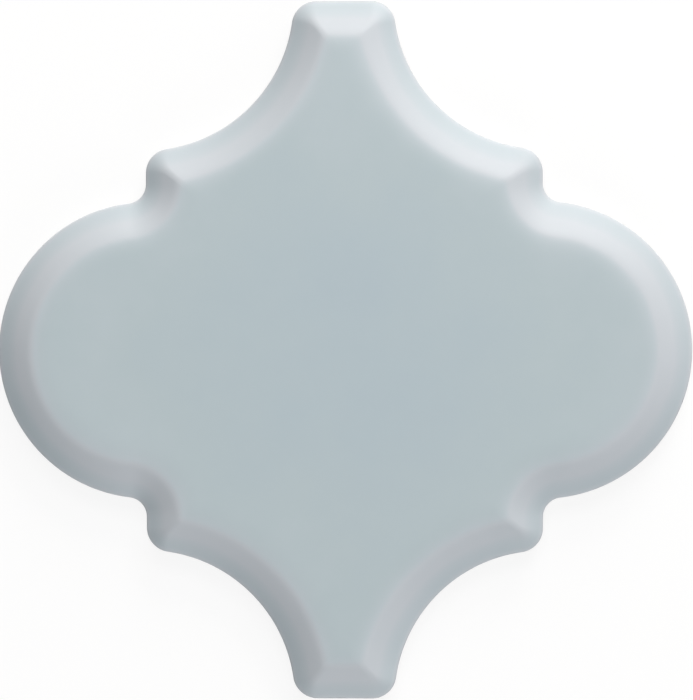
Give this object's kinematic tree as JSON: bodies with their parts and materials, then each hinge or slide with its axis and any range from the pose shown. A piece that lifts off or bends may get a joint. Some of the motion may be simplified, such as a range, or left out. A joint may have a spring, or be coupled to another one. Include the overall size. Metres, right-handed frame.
{
  "type": "arabesque tile",
  "caption": "Lantern-shaped glazed ceramic wall tile with round lobes, hollow flanks, flat tips, a cushion bevel all round and a keyed back.",
  "frame": {"origin": "middle of the tile on its back plane, the land of the key ribs", "axes": "+Z out of the glazed face, +Y along the line from tip to tip, +X across the lobes"},
  "size_m": [0.1492, 0.15, 0.0085],
  "materials": {
    "glazed_ceramic": "satin pale blue-grey glaze over an off-white biscuit body"
  },
  "bodies": {
    "root": {"arabesque_tile": "glazed_ceramic"}
  },
  "joints": []
}
